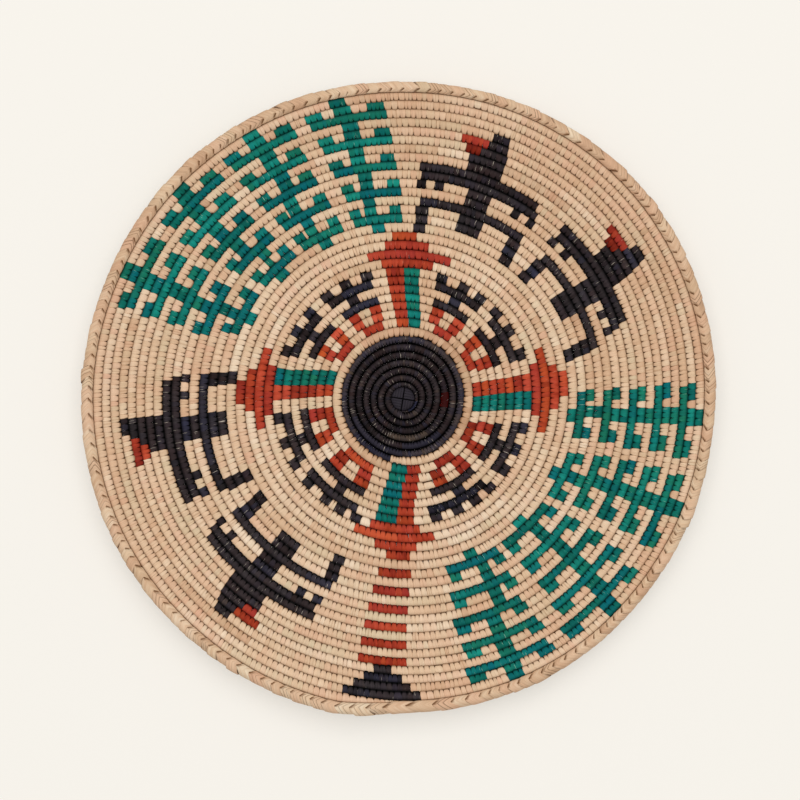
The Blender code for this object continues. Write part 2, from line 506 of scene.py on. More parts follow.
def stored(tree, name, output="Fac"):
    return wire(tree, "ShaderNodeAttribute", attribute_name=name).outputs[output]


def newMaterial(name, specular):
    material = bpy.data.materials.new(name)
    material.use_nodes = True
    shader = material.node_tree.nodes["Principled BSDF"]
    shader.inputs["Specular IOR Level"].default_value = specular
    return material, material.node_tree, shader


# what all splints have in common; ranges are where an effect begins and where it is full
leaf = {
    "fineness": 1.7,  # fibre lines to a millimetre, about
    "lineRun": 0.12,  # the lines' stretch along the splint
    "lineDetail": (3.0, 0.6),  # detail and roughness of the noise
    "cloudStretch": (0.45, 0.16, 1.0),
    "cloudDetail": (2.0, 0.5),
    "fleckStretch": (2.5, 0.15, 1.0),
    "fleckDetail": (1.0, 0.5),
    "fleckLevel": 0.82,
    "fleckEdge": 0.06,
    "seamRange": (0.12, 0.95),
    "pitShadeStart": 0.04,
    "glossSpread": 0.16,
    "bumpStrength": 0.5,
    "bumpHeight": 0.00012,
}


def makeFibreGroup():
    # long fibres of a split leaf: fine lines along it, slow changes of shade, and flecks where dye missed
    group, source, sink = newGroup(
        "splintFibre",
        "ShaderNodeTree",
        {"Splint": "Vector", "Fineness": leaf["fineness"], "Fleck Share": 0.1},
        {"Lines": "Float", "Cloud": "Float", "Fleck": "Float"},
    )
    splint, fineness, share = (source.outputs[label] for label in ("Splint", "Fineness", "Fleck Share"))
    finer = wire(group, "ShaderNodeCombineXYZ", {0: fineness, 1: leaf["lineRun"], 2: 1.0}).outputs[0]
    lines = leafNoise(group, splint, finer, *leaf["lineDetail"])
    cloud = leafNoise(group, splint, leaf["cloudStretch"], *leaf["cloudDetail"])
    spots = leafNoise(group, splint, leaf["fleckStretch"], *leaf["fleckDetail"])
    level = mathNode(group, "SUBTRACT", leaf["fleckLevel"], share)
    fleck = smoothRange(group, spots, level, mathNode(group, "ADD", level, leaf["fleckEdge"]))
    for label, value in (("Lines", lines), ("Cloud", cloud), ("Fleck", fleck)):
        group.links.new(value, sink.inputs[label])
    return group


# painted shade in the pits between rows, and dark lines between stitches that are partly dirt and dark joints
# and partly painted shade
def makeGrooveGroup():
    # dirt and shade that gather between stitches and between rows
    group, source, sink = newGroup(
        "stitchGroove",
        "ShaderNodeTree",
        {"Colour": "Color", "Line Colour": "Color", "Painted Pit Shade": "Color",
         "Line Strength": 0.7, "Pit Strength": 0.8, "Pit Width": 0.85},
        {"Colour": "Color"},
    )
    given = source.outputs
    # the lines between stitches: partly dark joints, partly painted shade
    lines = smoothRange(group, stored(group, "seam"), *leaf["seamRange"])
    # painted shade in the pits between rows
    pits = smoothRange(group, stored(group, "pit"), leaf["pitShadeStart"], given["Pit Width"])
    line = mathNode(group, "MULTIPLY", lines, given["Line Strength"])
    deep = mathNode(group, "MULTIPLY", pits, given["Pit Strength"])
    lined = mixColours(group, line, given["Colour"], given["Line Colour"])
    group.links.new(mixColours(group, deep, lined, given["Painted Pit Shade"]), sink.inputs["Colour"])
    return group


fibreGroup = makeFibreGroup()
grooveGroup = makeGrooveGroup()

# one dictionary for each splint: ramp from dark to light, second hue, colour of the lines between stitches
# and of the painted shade in the pits, gloss
splints = {
    "undyed": {
        "ramp": ((0.0, "#BE9472"), (0.35, "#D9B28E"), (0.65, "#E8C7A5"), (1.0, "#F4DCC0")),
        "blush": "#E0AE8F", "ash": "#D8C5A2",
        "line": "#8A500A", "pit": "#643802", "lineStrength": 0.66, "pitStrength": 0.96, "pitWidth": 0.82,
        "lines": 0.21, "cloud": 0.4, "fleckShare": 0.0, "fleck": "#F2E2C6",
        "roughness": 0.66, "specular": 0.12,
    },
    "black": {
        "ramp": ((0.0, "#0E0B0C"), (0.4, "#231E1F"), (0.8, "#3D3638"), (1.0, "#54463C")),
        "blush": "#372624", "ash": "#333346",
        "line": "#020102", "pit": "#010101", "lineStrength": 0.40, "pitStrength": 0.95, "pitWidth": 0.37,
        "lines": 0.62, "cloud": 0.7, "fleckShare": 0.115, "fleck": "#BDB2A2",
        "roughness": 0.50, "specular": 0.05,
    },
    "red": {
        "ramp": ((0.0, "#3A1413"), (0.3, "#7E2515"), (0.6, "#B03E27"), (1.0, "#D65D42")),
        "blush": "#AC3A32", "ash": "#C4552A",
        "line": "#600A02", "pit": "#460300", "lineStrength": 0.30, "pitStrength": 0.95, "pitWidth": 0.6,
        "lines": 0.30, "cloud": 0.6, "fleckShare": 0.07, "fleck": "#E0A080",
        "roughness": 0.55, "specular": 0.04,
    },
    "green": {
        "ramp": ((0.0, "#053F38"), (0.5, "#0B6A5E"), (1.0, "#1A9585")),
        "blush": "#1E795C", "ash": "#036874",
        "line": "#06362F", "pit": "#021E1A", "lineStrength": 0.28, "pitStrength": 0.84, "pitWidth": 0.44,
        "lines": 0.30, "cloud": 0.6, "fleckShare": 0.10, "fleck": "#A6CDB4",
        "roughness": 0.50, "specular": 0.04,
    },
}
dyes = tuple(splints)  # of the stitches; the knot and the rim have looks of their own
splints["knot"] = dict(
    splints["black"],
    ramp=((0.0, "#151216"), (0.6, "#38333A"), (1.0, "#4C464E")),
    fleckShare=0.0,
    lineStrength=0.85,
)
splints["braid"] = dict(
    splints["undyed"],
    ramp=((0.0, "#BC9472"), (0.4, "#D5AF8C"), (0.7, "#E3C4A2"), (1.0, "#F0DBBE")),
    line="#55301A",
    lineStrength=0.9,
    cloud=0.9,
    lines=0.26,
)


def splintMaterial(name, look):
    material, tree, shader = newMaterial(name, look["specular"])
    inputs = {"Splint": stored(tree, "splint", "Vector"), "Fleck Share": look["fleckShare"]}
    fibre = wire(tree, "ShaderNodeGroup", inputs, node_tree=fibreGroup).outputs
    cloudy = mathNode(tree, "MULTIPLY_ADD", fibre["Cloud"], look["cloud"], -look["cloud"] / 2)
    place = mathNode(tree, "ADD", stored(tree, "tone"), cloudy, clamp=True)
    ramp = wire(tree, "ShaderNodeValToRGB", {"Fac": place})
    stops = ramp.color_ramp.elements
    while len(stops) < len(look["ramp"]):
        stops.new(0.5)
    for stop, (position, code) in zip(stops, look["ramp"]):
        stop.position = position
        stop.color = shade(code)
    colour = ramp.outputs[0]
    for hue in ("blush", "ash"):
        colour = mixColours(tree, stored(tree, hue), colour, shade(look[hue]))
    streak = mathNode(tree, "MULTIPLY_ADD", fibre["Lines"], look["lines"] * 2, 1 - look["lines"])
    grey = wire(tree, "ShaderNodeCombineColor", {0: streak, 1: streak, 2: streak}).outputs[0]
    colour = mixColours(tree, 1.0, colour, grey, "MULTIPLY")
    if look["fleckShare"]:
        colour = mixColours(tree, fibre["Fleck"], colour, shade(look["fleck"]))
    inputs = {
        "Colour": colour,
        "Line Colour": shade(look["line"]),
        "Painted Pit Shade": shade(look["pit"]),
        "Line Strength": look["lineStrength"],
        "Pit Strength": look["pitStrength"],
        "Pit Width": look["pitWidth"],
    }
    groove = wire(tree, "ShaderNodeGroup", inputs, node_tree=grooveGroup)
    smoothest = look["roughness"] - leaf["glossSpread"] / 2
    rough = mathNode(tree, "MULTIPLY_ADD", fibre["Lines"], leaf["glossSpread"], smoothest)
    inputs = {"Height": fibre["Lines"], "Strength": leaf["bumpStrength"], "Distance": leaf["bumpHeight"]}
    bump = wire(tree, "ShaderNodeBump", inputs)
    tree.links.new(groove.outputs["Colour"], shader.inputs["Base Color"])
    tree.links.new(rough, shader.inputs["Roughness"])
    tree.links.new(bump.outputs[0], shader.inputs["Normal"])
    return material


materials = {kind: splintMaterial(kind + "Splint", look) for kind, look in splints.items()}
print("splint materials: %s" % ", ".join(materials))


# one stitch, a band round the row, drawn as fractions of the row's width and thickness
# phases run along the row from one neighbour to the next; the inner side ends in a rounded tongue
paleStitch = {
    "phases": (0.0, 0.08, 0.24, 0.5, 0.76, 0.92, 1.0),
    "tongue": (0.0, 0.52, 0.92, 1.0, 0.92, 0.52, 0.0),
    "seam": (1.0, 0.22, 0.0, 0.0, 0.0, 0.22, 1.0),
    "crease": (0.0, 0.0, 0.0, 1.0, 0.0, 0.0, 0.0),
    "crown": ((0.505, 0.0), (0.475, 0.25), (0.33, 0.42), (-0.04, 0.49), (-0.40, 0.425)),
    "tip": (-0.47, 0.385),
    "reach": 0.19,
    "inner": (-0.505, 0.0),
    "groove": 0.020,
    "notch": (0.09, 0.16),
    "shadeFrom": (0.14, 0.08),  # how far out and how far in from the row's middle the painted shade of the groove sets in
}
darkStitch = {
    "phases": (0.0, 0.12, 0.5, 0.88, 1.0),
    "tongue": (0.0, 0.7, 1.0, 0.7, 0.0),
    "seam": (1.0, 0.15, 0.0, 0.15, 1.0),
    "crease": (0.0, 0.0, 1.0, 0.0, 0.0),
    "crown": ((0.505, 0.0), (0.46, 0.17), (0.33, 0.36), (-0.02, 0.49), (-0.38, 0.33)),
    "tip": (-0.46, 0.19),
    "reach": 0.07,
    "inner": (-0.505, 0.0),
    "groove": 0.022,
    "notch": (0.04, 0.06),
    "shadeFrom": (0.16, 0.12),
}
# the painted shade of the pit: how far out it is full, how dark the tongue's root and tip are painted in the
# middle of a stitch and how much more at its sides, and how far the stitch is pinched there
pitShade = {"full": 0.53, "root": (0.15, 0.65), "tip": (0.68, 0.32), "pinch": 0.02}


def addFloats(mesh, name, values, kind="FLOAT"):
    layer = mesh.attributes.new(name, kind, "POINT")
    layer.data.foreach_set("value" if kind == "FLOAT" else "vector", np.asarray(values, np.float32).ravel())


def addVectors(mesh, name, values):
    addFloats(mesh, name, values, "FLOAT_VECTOR")


def addConstants(mesh, **values):
    for name, value in values.items():
        addFloats(mesh, name, [value] * len(mesh.vertices))


def placed(name, data):
    thing = bpy.data.objects.new(name, data)
    bpy.context.scene.collection.objects.link(thing)
    return thing


def helperObject(name, mesh):
    # read by a node tree only, and removed once the pieces are meshes
    thing = placed(name, mesh)
    thing.hide_render = True
    return thing


def bridge(bm, loops):
    # faces between each closed loop and the next
    for first, second in zip(loops, loops[1:]):
        for k in range(len(first)):
            n = (k + 1) % len(first)
            bm.faces.new((first[k], first[n], second[n], second[k]))


def meshFrom(bm, name):
    bmesh.ops.recalc_face_normals(bm, faces=bm.faces)
    mesh = bpy.data.meshes.new(name)
    bm.to_mesh(mesh)
    bm.free()
    return mesh


# the numbers that each point of a unit's shape carries for the laying tree
shapeFields = ("along", "across", "up", "seam", "pit", "tip", "crease", "ply", "round")


def templateObject(name, mesh, rows):
    # the shape of one unit, with a row of those numbers for each point
    for column, field in enumerate(shapeFields):
        addFloats(mesh, field, [row[column] for row in rows])
    return helperObject(name, mesh)


def sectionPoints(shape, tongue, seam):
    # (across, up, tip share, share of painted pit shade), round the upper half and back along the underside
    upper = []
    for across, up in shape["crown"]:
        shadeFrom = shape["shadeFrom"][0 if across > 0 else 1]
        # painted shade, darker towards the row's sides where it meets the next row
        deep = (max(abs(across) - shadeFrom, 0) / (pitShade["full"] - shadeFrom)) ** 2
        across *= 1 - pitShade["pinch"] * seam
        upper.append((across, up - shape["groove"] * seam * (up > 0), 0.0, min(deep, 1)))
    upper[0] = (shape["crown"][0][0], 0.0, 0.0, 1.0)
    root, tip = (least + more * seam for least, more in (pitShade["root"], pitShade["tip"]))
    notch, drop = (depth * seam for depth in shape["notch"])
    upper[-1] = (upper[-1][0] + notch, upper[-1][1], 0.0, root)
    across, up = shape["tip"]
    upper.append((across - shape["reach"] * tongue + notch, up - drop, tongue, tip))
    side = (*shape["inner"], 0.0, 1.0)
    lower = [(across, -up, tip, pit) for across, up, tip, pit in reversed(upper[1:])]
    return upper + [side] + lower


def stitchTemplate(name, shape):
    rows = []
    faces = []
    for phase, tongue, seam, crease in zip(*(shape[key] for key in ("phases", "tongue", "seam", "crease"))):
        points = sectionPoints(shape, tongue, seam)
        count = len(points)
        here = len(rows)
        last = here - count
        for k, (across, up, tip, pit) in enumerate(points):
            n = (k + 1) % count
            if here:
                faces.append((last + k, last + n, here + n, here + k))
            rows.append((phase, across, up, seam, pit, tip, crease, phase, k / count))
    mesh = bpy.data.meshes.new(name)
    mesh.from_pydata([row[:3] for row in rows], [], faces)
    return templateObject(name, mesh, rows)


def makeLayingTree():
    # lays one unit after another along a path and bends each to it
    tree, source, sink = newGroup(
        "layAlongPath",
        "GeometryNodeTree",
        {"Units": "Geometry", "Path": "Object", "Unit Shape": "Object", "Girth": 0.018, "Split Dip": -0.06,
         "Weld Distance": 0.000005, **{dye + " Material": "Material" for dye in dyes}},
        {"Geometry": "Geometry"},
    )
    given = source.outputs

    def node(kind, inputs, output=0, **settings):
        return wire(tree, kind, inputs, **settings).outputs[output]

    def named(name, kind="FLOAT"):
        return node("GeometryNodeInputNamedAttribute", {"Name": name}, "Attribute", data_type=kind)

    def calc(operation, *values):
        # a value given as a name is the unit's own number of that name
        values = [named(value) if isinstance(value, str) else value for value in values]
        return mathNode(tree, operation, *values)

    def keep(geometry, name, value, domain, kind="FLOAT"):
        inputs = {"Geometry": geometry, "Name": name, "Value": value}
        return node("GeometryNodeStoreNamedAttribute", inputs, data_type=kind, domain=domain)

    path = node("GeometryNodeObjectInfo", {"Object": given["Path"]}, "Geometry")
    shape = node("GeometryNodeObjectInfo", {"Object": given["Unit Shape"]}, "Geometry")
    curve = node("GeometryNodeMeshToCurve", {0: path})
    points = node("GeometryNodeMeshToPoints", {0: given["Units"]})
    laid = node("GeometryNodeInstanceOnPoints", {"Points": points, "Instance": shape})
    solid = node("GeometryNodeRealizeInstances", {0: laid})

    # where each point goes: so far along the path, and from there across it and up
    leaning = calc("MULTIPLY_ADD", "across", "slant", "along")
    reach = calc("MULTIPLY_ADD", leaning, "wide", "start")
    across = calc("SUBTRACT", "across", calc("MULTIPLY", "tip", "reachMore"))
    loose = calc("SUBTRACT", 1.0, "seam")
    puff = calc("MULTIPLY_ADD", loose, "lift", 1.0)
    crease = calc("MULTIPLY", "crease", "split")
    up = calc("MULTIPLY", "up", calc("MULTIPLY_ADD", crease, given["Split Dip"], puff))
    place = None
    for name, amount in (("acrossVector", across), ("upVector", up)):
        inputs = {"Curves": curve, "Value": named(name, "FLOAT_VECTOR"), "Length": reach}
        sample = wire(tree, "GeometryNodeSampleCurve", inputs, mode="LENGTH", data_type="FLOAT_VECTOR",
                      use_all_curves=True)
        inputs = {0: sample.outputs["Value"], "Scale": amount}
        offset = node("ShaderNodeVectorMath", inputs, operation="SCALE")
        place = place or sample.outputs["Position"]
        place = node("ShaderNodeVectorMath", {0: place, 1: offset}, operation="ADD")
    done = node("GeometryNodeSetPosition", {"Geometry": solid, "Position": place})

    # the splint's own coordinates in millimetres: across it, along it, and which stitch it is
    acrossSplint = calc("MULTIPLY", calc("MULTIPLY", "ply", "wide"), 1000.0)
    alongSplint = calc("MULTIPLY", "round", calc("MULTIPLY", given["Girth"], 1000.0))
    splint = node("ShaderNodeCombineXYZ", {0: acrossSplint, 1: alongSplint, 2: named("ident")})
    done = keep(done, "splint", splint, "CORNER", "FLOAT_VECTOR")
    # the lines between stitches and along split splints: partly dark joints, partly painted shade
    done = keep(done, "seam", calc("MAXIMUM", calc("MULTIPLY", "seam", "gape"), crease), "POINT")
    for name in ("dye", "tone", "blush", "ash"):
        done = keep(done, name, named(name), "FACE")
    done = node("GeometryNodeMergeByDistance", {"Geometry": done, "Distance": given["Weld Distance"]})
    for number, dye in enumerate(dyes):
        inputs = {0: named("dye"), 1: number, "Epsilon": 0.1}
        chosen = node("FunctionNodeCompare", inputs, data_type="FLOAT", operation="EQUAL")
        inputs = {"Geometry": done, "Selection": chosen, "Material": given[dye + " Material"]}
        done = node("GeometryNodeSetMaterial", inputs)
    tree.links.new(done, sink.inputs[0])
    return tree


layingTree = makeLayingTree()


def pathObject(name, path):
    mesh = bpy.data.meshes.new(name)
    count = len(path["centre"])
    mesh.from_pydata([tuple(p) for p in path["centre"]], [(i, i + 1) for i in range(count - 1)], [])
    addVectors(mesh, "acrossVector", path["across"])
    addVectors(mesh, "upVector", path["up"])
    return helperObject(name, mesh)


unitFields = (
    "start", "wide", "dye", "tone", "blush", "ash", "lift", "reachMore", "slant", "split", "gape", "ident")


def layUnits(name, units, path, template, girth, unitMaterials):
    # the units are points that only carry numbers; the tree does the laying
    mesh = bpy.data.meshes.new(name)
    mesh.from_pydata([(0, 0, i * 1e-4) for i in range(len(units))], [], [])
    for field in unitFields:
        addFloats(mesh, field, [unit[field] for unit in units])
    piece = placed(name, mesh)
    line = pathObject(name + "Path", path)
    values = {"Path": line, "Unit Shape": template, "Girth": girth}
    values.update((dye + " Material", material) for dye, material in zip(dyes, unitMaterials))
    modifier = piece.modifiers.new("laying", "NODES")
    modifier.node_group = layingTree
    for item in layingTree.interface.items_tree:
        if item.in_out == "INPUT" and item.name in values:
            modifier[item.identifier] = values[item.name]
    graph = bpy.context.evaluated_depsgraph_get()
    bent = piece.evaluated_get(graph)
    made = bpy.data.meshes.new_from_object(bent, preserve_all_data_layers=True, depsgraph=graph)
    piece.modifiers.clear()
    piece.data = made
    made.name = name
    bpy.data.meshes.remove(mesh)
    bpy.data.objects.remove(line)
    return piece


hues = ("tone", "blush", "ash")
spent = set(unitFields + ("along", "across", "up", "tip", "round", "crease", "ply")) - set(hues)


def tidyMesh(mesh, sharpAngle):
    # close the two cut ends, turn every face outwards and drop the numbers that only the tree needed
    bm = bmesh.new()
    bm.from_mesh(mesh)
    edges = [edge for edge in bm.edges if edge.is_boundary]
    caps = bmesh.ops.holes_fill(bm, edges=edges, sides=0)["faces"] if edges else []
    layers = [bm.faces.layers.float[name] for name in hues]
    splint = bm.loops.layers.float_vector["splint"]
    for cap in caps:
        beside = next(face for face in cap.edges[0].link_faces if face != cap)
        cap.material_index = beside.material_index
        for layer in layers:
            cap[layer] = beside[layer]
        for loop in cap.loops:
            loop[splint] = (0, 0, 0)
    bmesh.ops.recalc_face_normals(bm, faces=bm.faces)
    bm.to_mesh(mesh)
    bm.free()
    for name in [layer.name for layer in mesh.attributes]:
        if name in spent:
            mesh.attributes.remove(mesh.attributes[name])
    mesh.shade_smooth()
    mesh.set_sharp_from_angle(angle=sharpAngle)


# the rows
sewing = {
    "seed": 11,
    "chartStep": 0.0004,
    "paleStitch": 0.0033,  # width of a stitch
    "darkStitch": 0.0019,
    "unevenWidth": 0.18,
    "leastWidth": 0.55,  # of the usual
    "splintStitches": (5, 19),  # how many stitches one splint sews
    "unevenLift": 0.022,
    "dyedLift": -0.025,  # dyed splints are thinner and lie flat against each other
    "dyedReach": 0.05,
    "unevenReach": 0.06,
    "slant": (0.10, 0.07),  # how far the stitches of a row lean, and how much that varies from row to row
    "splitShare": 0.16,  # stitches whose splint is split down its middle
    "splitDepth": (0.3, 0.6),
    "gape": (0.05, 1.0),  # how open the line between two stitches is
    "tone": 0.55,
    "toneSpread": (0.12, 0.06),  # from splint to splint, and from stitch to stitch
    "dyedSpread": 1.4,  # times as much in dyed splints
    "hueSpread": 0.14,  # how much rosier or greyer one stitch is than the next
    "rosy": {"middle": 0.05, "atRim": 0.2, "spread": 0.14, "most": 0.5},  # how rosy undyed splints are
    "grey": {"middle": -0.08, "spread": 0.22, "most": 0.4},
    "paleInside": 0.06,  # how much paler they are at the knot than at the rim
    "shadedRow": 8,  # the innermost undyed row
    "shade": -0.28,
    "paintedLitSide": math.radians(237),  # painted light: the leaf is painted a little lighter on this side of the plate, where the dish's wall faces the light
    "paintedLitSideGain": 0.065,
    "paleTurn": 17.6,  # and the leaf itself is paler in the middle rows
    "paleTurns": 1.9,
    "palerTurn": 0.11,
    "navyShare": 0.16,  # black splints that took the dye a little blue
    "navy": (0.2, 0.6),  # how blue they are, and how brown the others
    "brown": (0.1, 0.5),
    "mostBlackTone": 0.66,
    "darkRowTone": (0.13, 0.42),  # how much paler the dark rows are, and the last of them
    "leastTone": 0.42,  # of a new red or green splint
    "blushFrom": (0.6, 1.6),  # red and green splints turn to their second hue past this draw, and how fast
    "ashFrom": (0.35, 1.8),
    "noiseStep": (40.0, 0.37),  # so far apart in the leaf's noise are two rows, and two stitches
    "sharpAngle": math.radians(50),
}
hand = random.Random(sewing["seed"])
spool = {"left": 0}


def within(value, low=0, high=1):
    return min(max(value, low), high)


def paleRowsAndLitSide(turns):
    # how much paler the undyed leaf is at this place along the coil: its own paler middle rows, and painted
    # light on one side
    side = math.cos(coil["seamAngle"] + math.tau * turns - sewing["paintedLitSide"])
    middle = math.exp(-(((turns - sewing["paleTurn"]) / sewing["paleTurns"]) ** 2))
    return sewing["paintedLitSideGain"] * side + sewing["palerTurn"] * middle


def nextSplint(dye, row):
    # a new splint: its shade, how rosy it is, how grey it is
    spool["left"] = hand.randint(*sewing["splintStitches"])
    spool["dye"] = dye
    spread = sewing["toneSpread"][0] * (1 if dye == "undyed" else sewing["dyedSpread"])
    tone = within(hand.gauss(sewing["tone"], spread))
    outer = row / coil["rows"]
    if dye == "undyed":
        rosy, grey = sewing["rosy"], sewing["grey"]
        blush = within(hand.gauss(rosy["middle"] + rosy["atRim"] * outer**4, rosy["spread"]), 0, rosy["most"])
        ash = within(hand.gauss(grey["middle"], grey["spread"]), 0, grey["most"])
        shaded = sewing["shade"] if row == sewing["shadedRow"] else 0
        tone += sewing["paleInside"] - sewing["paleInside"] * outer + shaded
    elif dye == "black":
        last = row == coil["darkRows"]
        navy = last or (row > coil["darkRows"] and hand.random() < sewing["navyShare"])
        ash = hand.uniform(*sewing["navy"]) if navy else 0
        blush = 0 if navy else hand.uniform(*sewing["brown"])
        tone = min(tone, sewing["mostBlackTone"])
        if row <= coil["darkRows"]:
            tone += sewing["darkRowTone"][last]
    else:
        tone = max(tone, sewing["leastTone"])
        side = hand.random()
        blush = max(side - sewing["blushFrom"][0], 0) * sewing["blushFrom"][1]
        ash = max(sewing["ashFrom"][0] - side, 0) * sewing["ashFrom"][1]
    spool.update(tone=tone, blush=blush, ash=ash)


def stitchBorders(row, path):
    # uneven widths, shifted a little so that each change of dye falls between two stitches
    total = path["length"][-1]
    usual = sewing["darkStitch"] if row <= coil["darkRows"] else sewing["paleStitch"]
    count = max(3, round(total / usual))
    widths = [max(hand.gauss(1, sewing["unevenWidth"]), sewing["leastWidth"]) for _ in range(count)]
    borders = np.concatenate([[0.0], np.cumsum(widths)]) * total / sum(widths)
    anchors, places = [0], [0.0]
    for change in dyeChanges(path, sewing["chartStep"]):
        nearest = int(np.abs(borders - change).argmin())
        if anchors[-1] < nearest < count:
            anchors.append(nearest)
            places.append(change)
    return np.interp(borders, borders[anchors + [count]], places + [total])


def rowStitches(row, path):
    borders = stitchBorders(row, path)
    slant = hand.gauss(*sewing["slant"])
    toRow, toStitch = sewing["noiseStep"]
    stitches = []
    for number, (start, stop) in enumerate(zip(borders, borders[1:])):
        middle = (start + stop) / 2
        sewn = dyeAlong(path, middle)
        odd = oddSplints.get(sewn, {})
        dye = odd.get("dye", sewn)
        dyed = dye != "undyed"
        if spool["left"] <= 0 or spool["dye"] != dye:
            nextSplint(dye, row)
        spool["left"] -= 1
        # painted light on one side of the plate, with the leaf's own paler middle rows
        lighter = 0 if dyed else paleRowsAndLitSide(turnsAt(path, middle))
        stitch = {
            "start": start,
            "wide": stop - start,
            "tone": within(spool["tone"] + lighter + hand.gauss(0, sewing["toneSpread"][1])),
            "blush": within(spool["blush"] + hand.gauss(0, sewing["hueSpread"])),
            "ash": within(spool["ash"] + hand.gauss(0, sewing["hueSpread"])),
            "lift": hand.gauss(sewing["dyedLift"] if dyed else 0, sewing["unevenLift"]),
            "reachMore": hand.gauss(sewing["dyedReach"] if dyed else 0, sewing["unevenReach"]),
            "slant": slant,
            "split": hand.uniform(*sewing["splitDepth"]) if hand.random() < sewing["splitShare"] else 0.0,
            "gape": hand.uniform(*sewing["gape"]),
            "ident": row * toRow + number * toStitch,
        }
        stitches.append({**stitch, **odd, "dye": dyes.index(dye)})
    return stitches


paleTemplate = stitchTemplate("paleStitchShape", paleStitch)
darkTemplate = stitchTemplate("darkStitchShape", darkStitch)
stitchCount = 0
triangles = 0
for row in range(1, coil["rows"] + 1):
    path = rowPath(row)
    stitches = rowStitches(row, path)
    template = darkTemplate if row <= coil["darkRows"] else paleTemplate
    girth = coil["thickness"] * math.pi
    name = "stitched_row_%02d" % row
    piece = layUnits(name, stitches, path, template, girth, [materials[dye] for dye in dyes])
    tidyMesh(piece.data, sewing["sharpAngle"])
    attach(piece, "root")
    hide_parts("coil_row_%02d" % row)
    stitchCount += len(stitches)
    triangles += sum(len(face.vertices) - 2 for face in piece.data.polygons)
for helper in (paleTemplate, darkTemplate):
    bpy.data.objects.remove(helper)
print("rows: %d stitches, %d triangles" % (stitchCount, triangles))


# the start knot, four splints crossed over and under
knot = {
    "radius": coil["knotRadius"] - 0.0006,
    "rings": 30,
    "spokes": 96,
    "padRise": 0.0010,
    "edgeDrop": 0.30,  # of the thickness, at the side
    "edgeCurve": 5,
    "splitWidth": 0.0006,
    "strand": 0.00165,
    "strandRise": 0.0005,
    "strandCurve": 0.6,
    "swell": (0.6, 0.4, 1.8),  # the pads' height at the side, how much more in the middle, and how it falls
    "creases": (0.8, 8),  # how dark the painted shade is between two strands, and how close to the side, under the first row, it turns dark
    "turn": math.radians(-9),
    "tone": 0.50,
    "noiseStart": 3.0,  # where its splints lie in the leaf's noise
    "middle": (pole.x + float(wanderAt(0, 0)), pole.y + float(wanderAt(math.pi / 2, 0))),
}


def knotSurface(x, y):
    # height over the knot's middle plane, the splint's own coordinates and how deep in a crease this place
    # is, which is painted as shade
    c, s = math.cos(knot["turn"]), math.sin(knot["turn"])
    u, v = x * c + y * s, y * c - x * s
    upright = (u > 0) != (v > 0)
    along, side = (v, u) if upright else (u, v)
    gap = min(abs(u), abs(v))
    border = min(gap / knot["splitWidth"], 1)
    far = math.hypot(x, y) / knot["radius"]
    fall = math.sqrt(max(1 - far ** knot["edgeCurve"], 0))
    strand = abs(side) / knot["strand"] % 1
    ridge = math.sin(math.pi * strand) ** knot["strandCurve"]
    least, more, slope = knot["swell"]
    swell = least + more * math.cos(min(abs(along) / knot["radius"], 1) * slope)
    pad = knot["padRise"] * border * (2 - border) * swell + knot["strandRise"] * ridge * border
    half = coil["thickness"] / 2 - knot["padRise"] - knot["strandRise"]
    height = half * (1 - knot["edgeDrop"] + knot["edgeDrop"] * fall) * fall + pad * fall
    dark, nearSide = knot["creases"]
    # painted shade: dark at the splits, between strands and towards the side
    crease = max(1 - border, (1 - ridge) * dark, far**nearSide)
    number = knot["noiseStart"] + math.floor(abs(side) / knot["strand"])
    return height, (abs(side) * 1000, abs(along) * 1000, number), crease


def makeKnot():
    bm = bmesh.new()
    coords = []
    creases = []
    half = coil["thickness"] / 2
    angles = [math.tau * spoke / knot["spokes"] for spoke in range(knot["spokes"])]

    def put(x, y, sign):
        height, splint, crease = knotSurface(x, y)
        coords.append(splint)
        creases.append(crease)
        return bm.verts.new((knot["middle"][0] + x, knot["middle"][1] + y, half + sign * height))

    def circle(radius, sign):
        return [put(radius * math.cos(angle), radius * math.sin(angle), sign) for angle in angles]

    rim = []
    for sign in (1, -1):
        centre = put(1e-5, 1e-5, sign)  # just beside the point where the four splints meet
        shares = [ring / knot["rings"] * math.pi / 2 for ring in range(1, knot["rings"])]
        layers = [circle(knot["radius"] * math.sin(share), sign) for share in shares]
        rim = rim or circle(knot["radius"], 0)
        layers.append(rim)
        for spoke in range(knot["spokes"]):
            following = (spoke + 1) % knot["spokes"]
            bm.faces.new((centre, layers[0][spoke], layers[0][following]))
            for inner, outer in zip(layers, layers[1:]):
                bm.faces.new((inner[spoke], outer[spoke], outer[following], inner[following]))
    mesh = meshFrom(bm, "start_knot_woven")
    addVectors(mesh, "splint", coords)
    addFloats(mesh, "seam", creases)
    addFloats(mesh, "pit", [crease**3 for crease in creases])
    addConstants(mesh, tone=knot["tone"], blush=0.0, ash=0.0)
    mesh.materials.append(materials["knot"])
    mesh.shade_smooth()
    return placed("start_knot_woven", mesh)


knotPiece = makeKnot()
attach(knotPiece, "root")
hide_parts("start_knot")
print("start knot: %d faces" % len(knotPiece.data.polygons))


